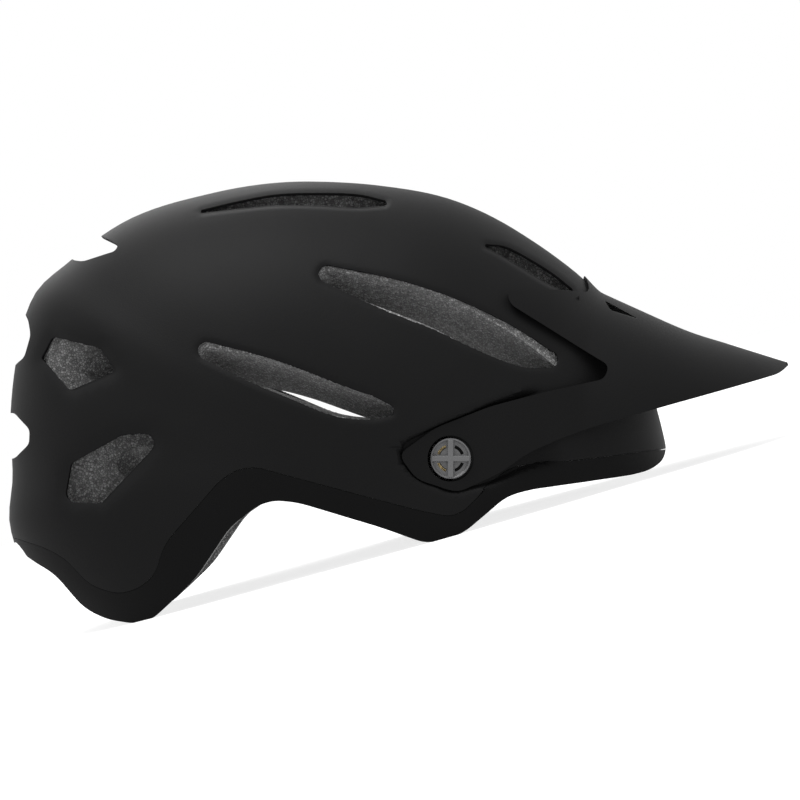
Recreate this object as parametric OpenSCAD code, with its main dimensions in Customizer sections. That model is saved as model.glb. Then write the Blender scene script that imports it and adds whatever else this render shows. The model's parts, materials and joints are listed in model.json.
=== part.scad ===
// Trail cycling helmet with a tilting visor and a dial fit cradle.
// It stands on its rear and ear lobes on Z = 0, front towards +X, and Y = 0 is its plane of symmetry.
// Lengths are in millimetres.

/* [Shell] */
// Half width of the outer shell at its widest section
half_w = 105.9; // [98:0.1:112]
// Squareness of the shell's cross sections, 2 is a plain ellipse
squareness = 2.3; // [2.0:0.1:2.6]
// Thickness of the moulded outer shell
shell_t = 1.2; // [1.0:0.1:1.6]
// Gap along the seam between the upper and lower shell
seam_gap = 0.5; // [0.3:0.1:1.0]
// Angle between neighbouring facets of the moulded surfaces, in degrees
facet_step = 9; // [7.5, 9, 10]

/* [Head space] */
// Half length of the head space
head_a = 112; // [108:1:114]
// Half width of the head space
head_b = 80; // [76:1:82]
// Height of the head space above its widest section
head_c = 106; // [102:1:108]
// Forward lean of the head space, in degrees
head_lean = 15; // [13:1:17]
// Thickness of the comfort pads
pad_t = 6; // [4:0.5:7]

/* [Visor] */
// Thickness of the visor's sheet
visor_t = 2.2; // [1.8:0.1:2.6]
// Distance that the free part of the visor stands off the shell
visor_gap = 3.0; // [2.4:0.1:3.2]
// Depth of the shell's recess for the visor arm
arm_recess = 3.4; // [3.2:0.1:3.8]
// Downward tilt of the visor that the recess leaves room for, in degrees
tilt_down = 10; // [6:1:10]
// Upward tilt of the visor that the recess leaves room for, in degrees
tilt_up = 1; // [0:1:2]
// Radius of the visor screw's finger head
screw_head_r = 8.5; // [8:0.1:9]
// Radius of the visor screw's shaft
screw_shaft_r = 2.5; // [2:0.1:3]

/* [Fit cradle] */
// Pitch radius of the dial's pinion
pinion_r = 4.9; // [4.9]
// Number of teeth on the pinion
pinion_teeth = 7; // [7]
// Radius of the fit dial
dial_r = 12; // [10:0.5:12]

/* [Straps] */
// Width of the strap webbing
web_w = 15; // [12:1:16]
// Thickness of the strap webbing
web_t = 1.4; // [1.2:0.1:1.6]

/* [Hidden] */
$fn = 48;

// Centre from which the shell's profile radii are measured, as x and z
core = [-30, 48];
// Profile of the plane of symmetry: angle above the front, and distance from the core
PROFILE = [[-60, 140], [-30, 152], [-15, 145], [-8, 142], [0, 140], [10, 135.5], [17, 132.5],
    [25, 128], [33, 124.5], [49, 120], [64, 116.2], [79, 116.5], [100, 123], [117, 134],
    [129, 140.5], [137, 146], [150, 142.5], [157, 141], [169, 139.5], [178, 144.2], [190, 142],
    [210, 132], [240, 128], [270, 132], [300, 140], [330, 152], [345, 145], [352, 142]];

function smooth(t) = let (c = min(max(t, 0), 1)) c * c * (3 - 2 * c);
function sgn_pow(v, p) = sign(v) * pow(abs(v), p);

// Cubic through four neighbouring profile points, between the middle two
function cubic(p, q, r, s, a) = let (
    h = r[0] - q[0],
    t = (a - q[0]) / h,
    mq = (r[1] - p[1]) / (r[0] - p[0]) * h,
    mr = (s[1] - q[1]) / (s[0] - q[0]) * h
) q[1] * (1 + 2 * t) * (1 - t) * (1 - t) + mq * t * (1 - t) * (1 - t)
    + r[1] * t * t * (3 - 2 * t) - mr * t * t * (1 - t);
function profile_r(angle) = let (
    a = angle < 330 ? angle : angle - 360,
    i = [for (k = [1 : len(PROFILE) - 3]) if (a >= PROFILE[k][0] && a <= PROFILE[k + 1][0]) k][0]
) cubic(PROFILE[i - 1], PROFILE[i], PROFILE[i + 1], PROFILE[i + 2], a);

// Point of the outer surface, sunk by a depth, at an angle round the core and a latitude to one side
function shell_point(a, lat, depth) = let (
    rho = (profile_r(a) - depth) * sgn_pow(cos(lat), 2 / squareness),
    y = (half_w - depth) * sgn_pow(sin(lat), 2 / squareness)
) [core[0] + rho * cos(a), y, core[1] + rho * sin(a)];
// Half width of the outer surface at a side view position
function shell_y(x, z) = let (
    rho = norm([x - core[0], z - core[1]]),
    s = rho / profile_r((atan2(z - core[1], x - core[0]) + 360) % 360)
) s >= 1 ? 0 : half_w * pow(1 - pow(s, squareness), 1 / squareness);

// Closed solid inside the outer surface, sunk by a depth
module surface_solid(depth) {
    around = 360 / facet_step;
    rows = 180 / facet_step - 1;
    ring = [for (j = [1 : rows], i = [0 : around - 1])
        shell_point(i * facet_step, -90 + j * facet_step, depth)];
    right_pole = rows * around;
    left_pole = right_pole + 1;
    points = concat(ring, [shell_point(0, -90, depth), shell_point(0, 90, depth)]);
    sides = [for (j = [0 : rows - 2], i = [0 : around - 1]) let (
        a = j * around + i,
        b = j * around + (i + 1) % around
    ) each [[a, b, b + around], [a, b + around, a + around]]];
    caps = [for (i = [0 : around - 1]) let (
        n = (i + 1) % around,
        last = (rows - 1) * around
    ) each [[right_pole, n, i], [left_pole, last + i, last + n]]];
    polyhedron(points, concat(sides, caps));
}

// Puts a shape drawn in side view, x across and z up, through the whole width
module through_side(low = -130, high = 130) {
    translate([0, high, 0]) rotate([90, 0, 0]) linear_extrude(high - low) children();
}
// Copies its children to both sides of the plane of symmetry
module both_sides() {
    children();
    mirror([0, 1, 0]) children();
}
module softened(r) {
    offset(r = r, $fn = 12) offset(delta = -r) offset(r = -r, $fn = 12) offset(delta = r) children();
}

// Side outline of the shell and foam: a curving hem below, open above
module hem_outline() {
    softened(2) polygon([[120, 28], [111, 28], [110.5, 11], [106, 5], [98, 3], [90, 3.5], [46, 10],
        [36, 10], [14, 0], [-1, 0], [-18, 12], [-48, 31], [-57, 34.5], [-64, 34.5], [-78, 29],
        [-98, 12], [-111, 5], [-121, 0], [-129, 0], [-141, 5], [-149, 12], [-157, 29],
        [-168, 39], [-174, 48], [-190, 48], [-190, 190], [130, 190], [130, 28]]);
}
// Region above the seam between the two shells
module above_seam() {
    softened(2) polygon([[-190, 51], [-173, 49], [-158, 41], [-150, 34], [-143, 20.5], [-132, 14],
        [-123, 14], [-114, 18], [-107, 29], [-90, 40], [-77, 48.5], [-69, 51], [-61, 50],
        [-34, 34], [0, 14], [11, 8.5], [17, 9], [37, 20], [43, 21], [76, 15], [101, 11],
        [130, 4], [130, 190], [-190, 190]]);
}

// Side vents: chains of circles as x, z and radius, with the drift of the foam channel per mm inwards
VENT_CROWN = [[-56, 160.5, 0.8], [-41, 159, 1.8], [-24, 156.7, 2.6], [-7, 152.2, 3], [9, 147, 3.2], [20, 143, 1.4]];
VENT_FRONT = [[57, 113.5, 1], [64, 109, 2.4], [73, 100, 2.8], [80, 92.5, 2.6], [86.5, 85.5, 1.4]];
VENT_TEMPLE = [[-11, 119.5, 4], [12, 104, 7.2], [30, 91.5, 8], [46, 78, 8.3], [60, 66, 7], [69, 60, 4]];
VENT_MIDDLE = [[-68, 102, 4], [-50, 89, 6.2], [-37, 79.5, 6.8], [-21, 67.5, 6.8], [-8, 60.5, 5.2], [-2, 57.8, 3]];
VENT_UPPER_REAR = [[-136.5, 118.5, 1.5], [-130, 123.5, 2.5], [-114, 114, 3], [-110, 106, 2], [-128, 104.5, 2.5]];
VENT_LOWER_REAR = [[-134, 69, 4], [-112, 74.5, 3.5], [-104, 72, 4.5], [-129, 56.5, 4], [-138, 59.5, 4.5]];

module blob(c, grow = 0) {
    translate([c[0], c[1]]) circle(c[2] + grow, $fn = c[2] < 2.5 ? 8 : 12);
}
// Slender vent: neighbouring circles of its chain joined
module slender(chain, grow = 0) {
    for (i = [0 : len(chain) - 2]) hull() {
        blob(chain[i], grow);
        blob(chain[i + 1], grow);
    }
}
// Broad vent: all the circles of its chain wrapped
module broad(chain, grow = 0) {
    hull() for (c = chain) blob(c, grow);
}
module side_vents(grow = 0) {
    slender(VENT_CROWN, grow);
    slender(VENT_FRONT, grow);
    slender(VENT_TEMPLE, grow);
    slender(VENT_MIDDLE, grow);
    broad(VENT_UPPER_REAR, grow);
    broad(VENT_LOWER_REAR, grow);
}
// Rear openings that cross the plane of symmetry, in side view
module rear_scoops() {
    softened(1.5) polygon([[-126, 176], [-116, 157], [-111, 154], [-96, 154], [-94, 156],
        [-97.5, 160], [-104, 165.5], [-108, 176]]);
    softened(1.5) polygon([[-170, 122], [-154, 119.5], [-146, 121.5], [-140.5, 130], [-140.5, 137],
        [-146, 146], [-170, 146]]);
    softened(1.5) polygon([[-182, 84], [-162, 81], [-153, 85], [-151, 91], [-157, 100], [-182, 106]]);
}
// Bay in the rear rim that leaves the fit dial free
module dial_bay() {
    translate([-190, 0, 0]) rotate([90, 0, 90]) linear_extrude(66) hull() for (s = [-1, 1]) {
        translate([s * 24, 30]) circle(16, $fn = 24);
        translate([s * 36, -12]) circle(4, $fn = 12);
    }
}
// Brow vents under the visor, seen from the front as y and z
module brow_vents() {
    rotate([90, 0, 90]) linear_extrude(180) {
        hull() for (s = [-1, 1]) translate([s * 9, 56]) circle(7.5, $fn = 12);
        both_brows() hull() {
            translate([34, 58]) circle(6, $fn = 12);
            translate([46, 51]) circle(5, $fn = 12);
        }
    }
}
module both_brows() {
    children();
    mirror([1, 0, 0]) children();
}

// Visor arm and its travel, in side view
pivot = [18, 31.5];
module arm_outline() {
    softened(2.5) polygon([[-2.5, 39], [15, 45.5], [40, 48], [66, 48], [66, 27], [50, 25], [36, 20],
        [17, 17], [2, 27]]);
}
module arm_travel() {
    for (a = [-tilt_down, tilt_up]) translate(pivot) rotate(a) translate(-pivot)
        offset(delta = 1.2) arm_outline();
}
// Shell surface with the arm recess taken out, sunk by a depth
module recessed_solid(depth) {
    difference() {
        surface_solid(depth);
        difference() {
            through_side() intersection() {
                offset(delta = depth) arm_travel();
                translate([-30, 0]) square([82 + depth, 80]);
            }
            surface_solid(depth + arm_recess);
            cube([400, 100, 400], center = true);
        }
        both_sides() arm_pocket(depth);
    }
}
// Round pocket for the visor's boss, drawn on the left side
boss_low = 95.4;
module arm_pocket(depth) {
    at_pivot(boss_low - depth) cylinder(r = 12.3 + depth, h = 20, $fn = 32);
}
// Places a piece along +Y from a height y over the left pivot
module at_pivot(y) {
    translate([pivot[0], y, pivot[1]]) rotate([-90, 0, 0]) children();
}

module shell_blank() {
    difference() {
        recessed_solid(0);
        recessed_solid(shell_t);
        through_side() side_vents();
        through_side() rear_scoops();
        dial_bay();
        brow_vents();
        both_sides() at_pivot(80) cylinder(r = 5.2, h = 30);
    }
}
module upper_shell() {
    color("#2b2b2c") intersection() {
        shell_blank();
        through_side() intersection() {
            hem_outline();
            offset(delta = -seam_gap / 2) above_seam();
        }
    }
}
module lower_shell() {
    color("#1e1e1f") intersection() {
        shell_blank();
        through_side() difference() {
            hem_outline();
            offset(delta = seam_gap / 2) above_seam();
        }
    }
}

// Space for the head, shrunk all round by a margin
head_centre = [-32, 0, 36];
module head_space(margin = 0) {
    translate(head_centre) rotate([0, head_lean, 0])
        scale([head_a - margin, head_b - margin, head_c - margin]) union() {
            sphere(1, $fn = 44);
            translate([0, 0, -1]) cylinder(r = 1, h = 1, $fn = 44);
        }
}
// Foam channel of a side vent on the left: from outside the shell to inside the head space
module channel(chain, y_face, y_in, drift, grow = 0.6) {
    y_out = y_face + 14;
    hull() {
        for (y = [y_in, y_out - 1]) translate([drift[0] * (y_face - y), 0, drift[1] * (y_face - y)])
            through_side(y, y + 1) broad(chain, grow);
    }
}
// Closed foam pocket behind a vent on the left, with a round duct to the head space
module pocket(chain, y_in, from, to, r) {
    through_side(y_in, 130) broad(chain, 0.6);
    hull() {
        translate(from) sphere(r, $fn = 10);
        translate(to) sphere(r, $fn = 10);
    }
}
module foam_channels() {
    both_sides() {
        channel(VENT_TEMPLE, 88, 50, [0, -0.62]);
        channel(VENT_MIDDLE, 101, 62, [0, -0.52]);
        pocket(VENT_CROWN, 30, [-18, 36, 152], [-18, 30, 118], 6);
        pocket(VENT_FRONT, 32, [74, 40, 98], [52, 30, 80], 5);
        pocket(VENT_UPPER_REAR, 52, [-122, 58, 113], [-92, 40, 98], 7);
        pocket(VENT_LOWER_REAR, 60, [-116, 66, 66], [-90, 44, 60], 7);
    }
    // Ducts from the rear openings to the head space
    translate([-175, -22, 85]) cube([70, 44, 12]);
    translate([-112, -20, 120]) cube([16, 40, 34]);
}
module liner_sockets() {
    both_sides() {
        at_pivot(80) cylinder(r = 4.9, h = 20);
        at_pivot(92.1) cylinder(r = 8.1, h = 20);
        translate([cradle_axis[0], 78, cradle_axis[1]]) rotate([-90, 0, 0]) cylinder(r = 6.1, h = 15.1);
        for (a = STRAP_ANCHORS) anchor_block(a, 0.1);
    }
    rail_sweep(rail_low - 1, rail_high + 3) translate([rail_r - 3, -9.5]) square([7.9, 19]);
    for (a = RAIL_PEGS) rail_peg(a, 0.1);
}
module foam_liner() {
    color("#565656") difference() {
        intersection() {
            recessed_solid(shell_t + 0.1);
            through_side() hem_outline();
        }
        head_space();
        foam_channels();
        through_side() rear_scoops();
        dial_bay();
        brow_vents();
        liner_sockets();
    }
}

// Visor: an arch over the brow whose skirts run back as arms to the pivots
VISOR_CREST = [[-10, 150], [60, 118], [96, 87.5], [115, 71.5], [134, 56], [150, 45.5], [171, 32], [176, 29]];
VISOR_HALF = [[-10, 90], [60, 87], [80, 84], [100, 80], [120, 73], [140, 62], [155, 48], [163, 37],
    [168, 26], [171, 16], [173, 4]];
visor_base = 12;
function along(list, x, i = 0) = x <= list[i + 1][0] || i == len(list) - 2
    ? list[i][1] + (list[i + 1][1] - list[i][1]) * (x - list[i][0]) / (list[i + 1][0] - list[i][0])
    : along(list, x, i + 1);
// Distance from the visor's base line to the arch, and to the shell, at a station and an angle
function arch_r(x, a) = let (
    w = max(0.5, along(VISOR_HALF, x)),
    h = max(0.5, along(VISOR_CREST, x) - visor_base)
) pow(pow(abs(cos(a)) / w, 2.2) + pow(abs(sin(a)) / h, 2.2), -1 / 2.2);
function inside_shell(x, y, z) = shell_y(x, z) > abs(y);
function shell_r(x, a, low = 0, high = 170, n = 14) = n == 0 ? low : let (m = (low + high) / 2)
    inside_shell(x, m * cos(a), visor_base + m * sin(a))
    ? shell_r(x, a, m, high, n - 1) : shell_r(x, a, low, m, n - 1);
function stand_off(x) = (visor_gap + visor_t) * smooth((x - 24) / 36) - 0.1;
function visor_r(x, a, sink) = max(shell_r(x, a) + stand_off(x), arch_r(x, a)) - sink;
VISOR_X = [-8, 4, 16, 28, 40, 50, 60, 70, 80, 90, 97, 104, 112, 121, 130, 139, 148, 156, 163, 168, 171, 172.8];
module visor_body(sink, ahead) {
    fan = [for (k = [0 : 16]) k * 11.25];
    n = len(fan);
    m = len(VISOR_X);
    points = [for (x = VISOR_X, a = fan) let (
        r = max(0.3, visor_r(min(x + ahead, 173), a, sink))
    ) [x, r * cos(a), visor_base + r * sin(a)]];
    skin = [for (i = [0 : m - 2], k = [0 : n - 1]) let (
        p = i * n + k,
        q = i * n + (k + 1) % n
    ) each [[p, q + n, q], [p, p + n, q + n]]];
    back = [for (k = [1 : n - 2]) [0, k, k + 1]];
    front = [for (k = [1 : n - 2]) [(m - 1) * n, (m - 1) * n + k + 1, (m - 1) * n + k]];
    polyhedron(points, concat(skin, back, front));
}
module visor_outline() {
    softened(1.6) polygon([[-2.5, 39], [15, 45.5], [40, 48], [66, 47.5], [90, 46], [93.5, 51],
        [60, 87], [60, 92.5], [82, 88], [96, 83], [98, 100], [190, 60], [190, 33],
        [172.5, 29.5], [166, 27.5], [112, 28], [80, 28], [65, 27], [50, 25], [36, 20],
        [17, 17], [2, 27]]);
}
// Shallow ribs under the roof, running forward
module roof_ribs() {
    intersection() {
        difference() {
            visor_body(0.6, 0);
            visor_body(visor_t + 1.4, 1.5);
        }
        for (s = [-1, 1], i = [0 : 3]) hull() {
            translate([106, s * (8 + i * 15), 30]) cylinder(r = 0.7, h = 60, $fn = 6);
            translate([160 - i * 7, s * (5 + i * 9), 30]) cylinder(r = 0.7, h = 60, $fn = 6);
        }
    }
}
module visor() {
    color("#1b1b1c") difference() {
        union() {
            difference() {
                intersection() {
                    visor_body(0, 0);
                    through_side() visor_outline();
                }
                visor_body(visor_t, 1.5);
            }
            both_sides() at_pivot(boss_low + 0.5) cylinder(r = 11.2, h = 6.4, $fn = 32);
            roof_ribs();
        }
        both_sides() {
            at_pivot(99.4) cylinder(r = 9.4, h = 20, $fn = 32);
            at_pivot(90) cylinder(r = 5, h = 20, $fn = 24);
            // Air slot beside the crest
            through_side(8, 70) softened(0.5) polygon([[101, 78.5], [102, 73.5], [112.5, 67]]);
        }
    }
}

// Visor screw parts, drawn on the left side
module visor_bush() {
    color("#3a3a3a") at_pivot(boss_low + 0.35) difference() {
        cylinder(r = 4.95, h = 3.5);
        translate([0, 0, -1]) cylinder(r = screw_shaft_r + 0.05, h = 8);
    }
}
module visor_screw() {
    color("#4a4a4a") union() {
        at_pivot(82) cylinder(r = screw_shaft_r, h = 18);
        difference() {
            at_pivot(99.6) cylinder(r = screw_head_r, h = 2.6);
            at_pivot(100.8) difference() {
                cylinder(r = screw_head_r - 0.9, h = 3);
                translate([0, 0, -1]) cylinder(r = 1.6, h = 5);
                for (a = [0, 90]) rotate(a) cube([2 * screw_head_r, 2.4, 8], center = true);
            }
        }
    }
}
module screw_insert() {
    color("#a08a50") difference() {
        union() {
            at_pivot(80.2) cylinder(r = 4.8, h = 14);
            at_pivot(92.2) cylinder(r = 8, h = 1.9);
        }
        at_pivot(79) cylinder(r = screw_shaft_r + 0.05, h = 20);
    }
}

// Comfort pads follow the head space a little inside the foam
module pad_layer() {
    intersection() {
        difference() {
            head_space(1.4);
            head_space(1.4 + pad_t);
        }
        children();
    }
}
// Row of sewn lobes from one point to the next, extruded
module lobes(path, r, h) {
    linear_extrude(h) for (i = [0 : len(path) - 2]) hull() {
        translate(path[i]) circle(r, $fn = 14);
        translate(path[i + 1]) circle(r, $fn = 14);
    }
}
module brow_pad() {
    color("#202022") pad_layer() translate([40, 0, 0]) rotate([90, 0, 90])
        lobes([for (y = [-56 : 14 : 56]) [y, 24 + 4 * cos(y * 1.5)]], 11, 60);
}
module crown_pad() {
    color("#202022") pad_layer() translate([0, 0, 80])
        lobes([for (x = [-100 : 15 : 20]) [x, 0]], 10, 80);
}
// Flank pads, drawn on the left side
module side_pad() {
    color("#202022") pad_layer() translate([0, 0, 85])
        lobes([for (i = [0 : 8]) [-92 + i * 8, 34 + 6 * sin(i * 22)]], 8.5, 60);
}
module rear_pad() {
    color("#202022") pad_layer() translate([-150, 0, 0]) rotate([90, 0, 90])
        lobes([for (i = [0 : 8]) [26 + i * 2.5, 74 + i * 3]], 9, 46);
}
// Hook patches hold the pads: azimuth and elevation of each on the head space
PATCHES = [[0, 8], [33, 7], [-33, 7], [180, 48], [180, 74], [138, 46], [-138, 46], [153, 12], [-153, 12]];
module hook_patches() {
    color("#111111") translate(head_centre) rotate([0, head_lean, 0]) for (p = PATCHES) {
        u = [cos(p[1]) * cos(p[0]), cos(p[1]) * sin(p[0]), sin(p[1])];
        n = [u[0] / head_a, u[1] / head_b, u[2] / head_c];
        translate([u[0] * head_a, u[1] * head_b, u[2] * head_c])
            rotate([0, acos(n[2] / norm(n)), atan2(n[1], n[0])])
            translate([0, 0, -1.35]) cylinder(r = 5, h = 0.5);
    }
}

// Fit cradle: it swings on two pegs beside the ears, and a stem guides it in a curved rail behind
cradle_axis = [-36, 40];
rail_r = 103.6;
rail_low = 11;
rail_high = 31;
RAIL_PEGS = [15, 27];
// Sweeps a section, as distance from the cradle's axis and y, up the back of the head
module rail_sweep(low, high) {
    translate([cradle_axis[0], 0, cradle_axis[1]]) rotate([90, 0, 0])
        rotate([0, 0, 180 - high]) rotate_extrude(angle = high - low, $fn = 180) children();
}
module rail_peg(a, grow = 0) {
    translate([cradle_axis[0], 0, cradle_axis[1]]) rotate([0, a, 0]) rotate([0, -90, 0])
        translate([0, 0, rail_r + 3]) cylinder(r = 3 + grow, h = 12 + grow);
}
module height_rail() {
    color("#161616") union() {
        rail_sweep(rail_low, rail_high) {
            translate([rail_r + 2.4, -9]) square([2, 18]);
            for (s = [-1, 1]) translate([rail_r - 1.4, s < 0 ? -9 : 6.6]) square([4, 2.4]);
            for (s = [-1, 1]) translate([rail_r - 2.6, s < 0 ? -9 : 4.6]) square([1.4, 4.4]);
        }
        for (a = RAIL_PEGS) rail_peg(a);
    }
}
module belt_anchor() {
    color("#161616") translate([cradle_axis[0], 78.2, cradle_axis[1]]) rotate([-90, 0, 0]) difference() {
        cylinder(r = 6, h = 14.6);
        translate([0, 0, -1]) cylinder(r = 2.55, h = 13.6);
    }
}
// Dial axis runs along X at this y and z
dial_axis = [0, 30];
module at_dial(x) {
    translate([x, dial_axis[0], dial_axis[1]]) rotate([0, 90, 0]) children();
}
module housing_face() {
    hull() for (y = [-15, 15]) translate([0, y]) circle(11.6);
}
module cradle_yoke() {
    stem_low = 1;
    stem_high = 24;
    color("#191919") union() {
        rail_sweep(stem_low, stem_high) translate([rail_r - 0.8, -6]) square([2, 12]);
        translate([-135.4, -27.5, 19]) cube([2, 55, 22]);
        translate([-141, -6, 38.5]) cube([6.6, 12, 5]);
    }
}
module dial_housing_front() {
    color("#191919") difference() {
        translate([-141.9, 0, 0]) rotate([0, 90, 0]) translate([-30, 0, 0]) linear_extrude(6.4) housing_face();
        translate([-142.9, -30, 30 - 8.6]) cube([5.2, 60, 17.2]);
        at_dial(-150) cylinder(r = 2.05, h = 13.4);
        translate([-142, -6.2, 38]) cube([8, 12.4, 6]);
    }
}
module dial_housing_back() {
    color("#191919") difference() {
        translate([-144.1, 0, 0]) rotate([0, 90, 0]) translate([-30, 0, 0]) linear_extrude(2.1) housing_face();
        at_dial(-150) cylinder(r = 2.55, h = 10);
    }
}
module dial_pinion() {
    color("#777777") union() {
        at_dial(-150.5) cylinder(r = 2.5, h = 12.6);
        at_dial(-138) cylinder(r = 2, h = 1.2);
        at_dial(-141.6) linear_extrude(3.4) {
            circle(pinion_r - 1.5);
            for (i = [0 : pinion_teeth - 1]) rotate(i * 360 / pinion_teeth)
                polygon([[2, -1], [pinion_r, -0.65], [pinion_r + 1.2, -0.3], [pinion_r + 1.2, 0.3],
                    [pinion_r, 0.65], [2, 1]]);
        }
    }
}
module dial_knob() {
    color("#232323") at_dial(-151.5) difference() {
        cylinder(r = dial_r, h = 7);
        translate([0, 0, 1]) cylinder(r = 2.5, h = 8);
        for (i = [0 : 17]) rotate(i * 20) translate([dial_r + 0.6, 0, -1]) cylinder(r = 1.3, h = 9, $fn = 16);
    }
}
// Belt: a ribbon round the head, a toothed rack in the housing and a peg in the anchor, on the left
BELT_PATH = [[-139.9, 23, 30], [-139.9, 35, 30], [-130, 40, 31], [-112, 53, 34], [-90, 64, 38.5],
    [-64, 71.5, 41], [-44, 74.5, 40.5], [-29, 75, 40]];
module fit_belt(rack_side) {
    pitch = 2 * PI * pinion_r / pinion_teeth;
    low = rack_side > 0 ? 30 + pinion_r + 1.5 : 30 - pinion_r - 3.3;
    phase = rack_side > 0 ? 0 : 0.5;
    color("#1d1d1d") union() {
        ribbon(BELT_PATH, [0, 0, 1], 7, 1.6);
        translate([-141.2, -14, low]) cube([2.8, 38.4, 1.8]);
        translate([-141.2, 22.4, min(low, 26.5)]) cube([2.6, 2, 11.7]);
        for (i = [-3 : 3]) translate([-141.2, (i + phase) * pitch, 30]) rotate([0, 90, 0])
            linear_extrude(2.8) scale([rack_side, 1])
            polygon([[-pinion_r - 1.6, -0.9], [-pinion_r, -0.6], [-pinion_r + 1.1, -0.3],
                [-pinion_r + 1.1, 0.3], [-pinion_r, 0.6], [-pinion_r - 1.6, 0.9]]);
        translate([cradle_axis[0], 74.6, cradle_axis[1]]) rotate([-90, 0, 0]) cylinder(r = 2.5, h = 15.6);
    }
}
module cradle_pad() {
    color("#202022") translate([-133.2, 0, 30]) rotate([0, 90, 0]) linear_extrude(4)
        hull() for (y = [9, 20]) translate([0, y]) circle(7);
}

// Flat ribbon along a path: the width runs along one direction, the thickness across it
function heading(path, i) = let (d = path[min(i + 1, len(path) - 1)] - path[max(i - 1, 0)]) d / norm(d);
module ribbon(path, wide, width, thick) {
    n = len(path);
    points = [for (i = [0 : n - 1]) let (
        c = cross(heading(path, i), wide),
        t = c / norm(c) * thick / 2,
        w = wide * width / 2
    ) each [path[i] - w - t, path[i] + w - t, path[i] + w + t, path[i] - w + t]];
    skin = [for (i = [0 : n - 2], k = [0 : 3]) let (
        p = i * 4 + k,
        q = i * 4 + (k + 1) % 4
    ) each [[p, q + 4, q], [p, p + 4, q + 4]]];
    ends = [[0, 1, 2], [0, 2, 3], [4 * n - 4, 4 * n - 2, 4 * n - 3], [4 * n - 4, 4 * n - 1, 4 * n - 2]];
    polyhedron(points, concat(skin, ends));
}

// Straps, stowed turned up inside the bowl; drawn on the left side
STRAP_ANCHORS = [[28, 66, 25], [-74, 73, 58]];
module anchor_block(a, grow = 0) {
    translate([a[0] - 10 - grow, a[1] - grow, a[2] - 5 - grow]) cube([20 + 2 * grow, 9 + grow, 10 + 2 * grow]);
}
module strap_anchors() {
    color("#161616") both_sides() for (a = STRAP_ANCHORS) anchor_block(a);
}
FRONT_STRAP = [[26, 64.4, 25], [20, 64.9, 29], [16, 65.6, 32.5], [12.5, 66.6, 35.5]];
REAR_STRAP = [[-73, 71, 57], [-56, 71.5, 55], [-38, 71.5, 52.5], [-22, 70.5, 50], [-11, 69, 48]];
CHIN_STRAP = [[0, 67.1, 59.8], [0, 63.5, 68], [0, 57, 83], [0, 47.5, 97], [0, 38, 106.5], [0, 27.5, 112.5]];
module front_strap() {
    color("#1a1a1b") ribbon(FRONT_STRAP, [0.64, 0, 0.77], web_w * 0.8, web_t);
}
module rear_strap() {
    color("#1a1a1b") ribbon(REAR_STRAP, [0.12, 0, 0.99], web_w * 0.8, web_t);
}
module chin_strap() {
    color("#1a1a1b") ribbon(CHIN_STRAP, [1, 0, 0], web_w, web_t);
}
divider_y = 67.6;
module strap_divider() {
    color("#181818") difference() {
        union() {
            translate([-10, divider_y - 1.5, 37]) cube([19.5, 5, 22]);
            for (x = [-10, 8.2]) translate([x, cam_axis[0] - 1.6, 55.6]) cube([1.3, 4, 3.4]);
        }
        translate([-11, cam_axis[0], cam_axis[1]]) rotate([0, 90, 0]) cylinder(r = 1.06, h = 22);
        translate([-8, divider_y - 2, 52]) cube([15.5, 2.5, 2]);
        translate([-10.5, divider_y - 2, 46]) cube([20.5, 1.7, 3]);
    }
}
cam_axis = [divider_y - 3.2, 57.4];
module divider_cam() {
    color("#2a2a2a") difference() {
        union() {
            translate([-8.5, cam_axis[0] - 1, 40]) cube([16.5, 2, 17.4]);
            translate([-9.8, cam_axis[0], cam_axis[1]]) rotate([0, 90, 0]) cylinder(r = 1, h = 19.1);
        }
        translate([-5, cam_axis[0] - 2, 42]) cube([9.5, 1.6, 1.2]);
    }
}
// Buckle at the crown, with its tongue along Y
module buckle_socket() {
    color("#171717") difference() {
        translate([-12, -26, 108.5]) cube([24, 28, 8]);
        translate([-9.4, -14, 110.4]) cube([18.8, 17, 4.2]);
        translate([-8.5, -23.5, 105]) cube([17, 2.4, 20]);
        for (s = [-1, 1]) translate([s * 12 - 3.5, -12, 110.4]) cube([7, 8, 4.2]);
    }
}
module buckle_plug() {
    color("#171717") difference() {
        union() {
            translate([-12, 2.3, 108.5]) cube([24, 23, 8]);
            translate([-2.5, -12, 111.2]) cube([5, 15, 2.6]);
            for (s = [-1, 1]) translate([s * 7.2 - 1.4, -11, 111.2]) cube([2.8, 14, 2.6]);
            for (s = [-1, 1]) translate([s * 8 - 1.2, -11, 111.2]) cube([2.4, 5, 2.6]);
        }
        translate([-8.5, 20.5, 105]) cube([17, 2.4, 20]);
    }
}
module strap_keeper() {
    color("#141414") translate([0, -42.75, 101.75]) rotate([45, 0, 0]) difference() {
        cube([19, 6, 4.6], center = true);
        cube([16, 8, 2.6], center = true);
    }
}

upper_shell();
lower_shell();
foam_liner();
visor();
visor_bush();  // visor_bush_left
mirror([0, 1, 0]) visor_bush();  // visor_bush_right
visor_screw();  // visor_screw_left
mirror([0, 1, 0]) visor_screw();  // visor_screw_right
screw_insert();  // screw_insert_left
mirror([0, 1, 0]) screw_insert();  // screw_insert_right
brow_pad();
crown_pad();
side_pad();  // side_pad_left
mirror([0, 1, 0]) side_pad();  // side_pad_right
rear_pad();  // rear_pad_left
mirror([0, 1, 0]) rear_pad();  // rear_pad_right
hook_patches();
height_rail();
belt_anchor();  // belt_anchor_left
mirror([0, 1, 0]) belt_anchor();  // belt_anchor_right
cradle_yoke();
dial_housing_front();
dial_housing_back();
dial_pinion();
dial_knob();
fit_belt(1);  // fit_belt_left
mirror([0, 1, 0]) fit_belt(-1);  // fit_belt_right
cradle_pad();  // cradle_pad_left
mirror([0, 1, 0]) cradle_pad();  // cradle_pad_right
strap_anchors();
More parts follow.
